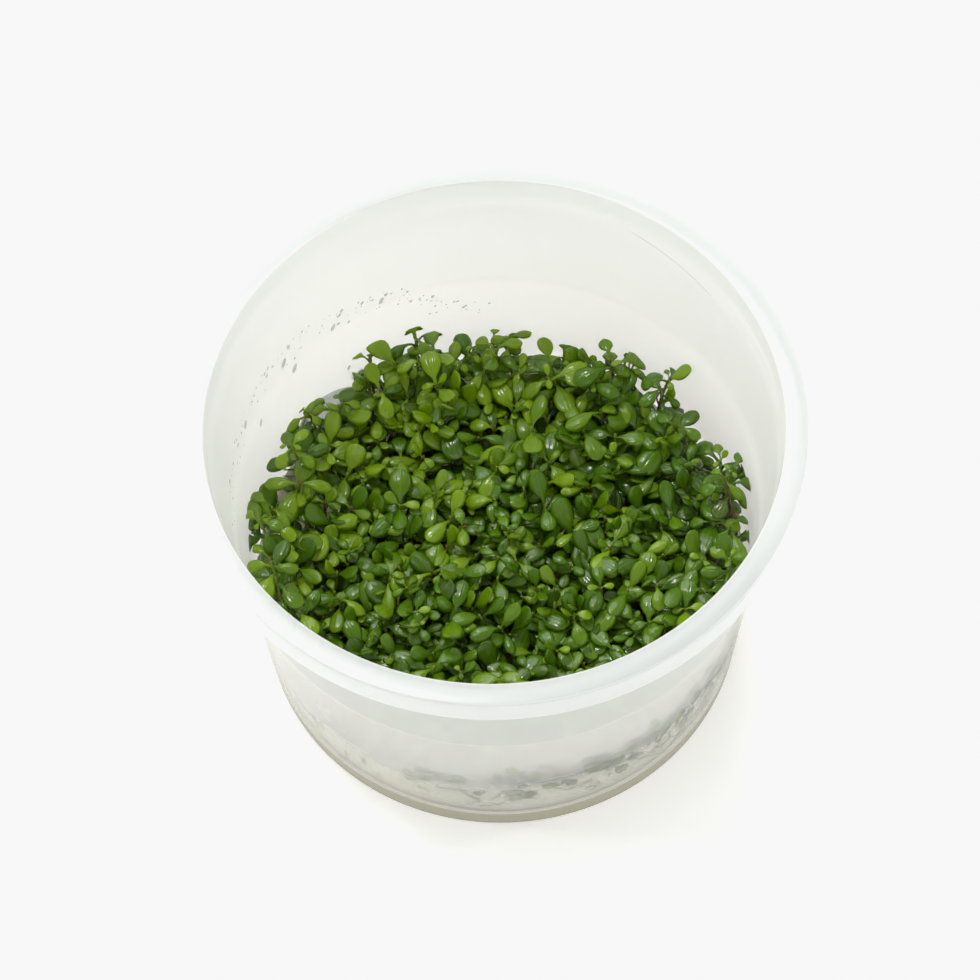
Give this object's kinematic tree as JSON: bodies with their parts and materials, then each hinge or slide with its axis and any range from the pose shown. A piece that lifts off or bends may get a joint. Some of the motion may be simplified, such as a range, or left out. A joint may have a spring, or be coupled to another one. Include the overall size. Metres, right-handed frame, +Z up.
{
  "type": "tissue culture glossostigma",
  "caption": "Open translucent tapered plastic cup with a disc of clear gel and clumps of small green carpeting plantlets that fill it from wall to wall.",
  "frame": {"origin": "centre of the cup's foot ring, on the surface that the cup stands on", "axes": "+Z up along the cup's axis, -Y towards the side that the picture was taken from, +X to that view's right"},
  "size_m": [0.1008, 0.1008, 0.0645],
  "materials": {
    "milky_plastic": "milky translucent moulded plastic, smooth and softly glossy",
    "clear_gel": "clear jelly with a faint green tint and a wet gloss",
    "leaf_green": "living leaves, mid green with a soft waxy gloss"
  },
  "bodies": {
    "root": {"cup": "milky_plastic", "gel": "clear_gel", "plantlet_clump_01": "leaf_green", "plantlet_clump_02": "leaf_green", "plantlet_clump_03": "leaf_green", "plantlet_clump_04": "leaf_green", "plantlet_clump_05": "leaf_green", "plantlet_clump_06": "leaf_green", "plantlet_clump_07": "leaf_green", "plantlet_clump_08": "leaf_green", "plantlet_clump_09": "leaf_green", "plantlet_clump_10": "leaf_green", "plantlet_clump_11": "leaf_green", "plantlet_clump_12": "leaf_green", "plantlet_clump_13": "leaf_green", "plantlet_clump_14": "leaf_green", "plantlet_clump_15": "leaf_green", "plantlet_clump_16": "leaf_green", "plantlet_clump_17": "leaf_green", "plantlet_clump_18": "leaf_green", "plantlet_clump_19": "leaf_green", "plantlet_clump_20": "leaf_green", "plantlet_clump_21": "leaf_green", "plantlet_clump_22": "leaf_green", "plantlet_clump_23": "leaf_green", "plantlet_clump_24": "leaf_green", "plantlet_clump_25": "leaf_green", "plantlet_clump_26": "leaf_green", "plantlet_clump_27": "leaf_green", "plantlet_clump_28": "leaf_green"}
  },
  "joints": []
}
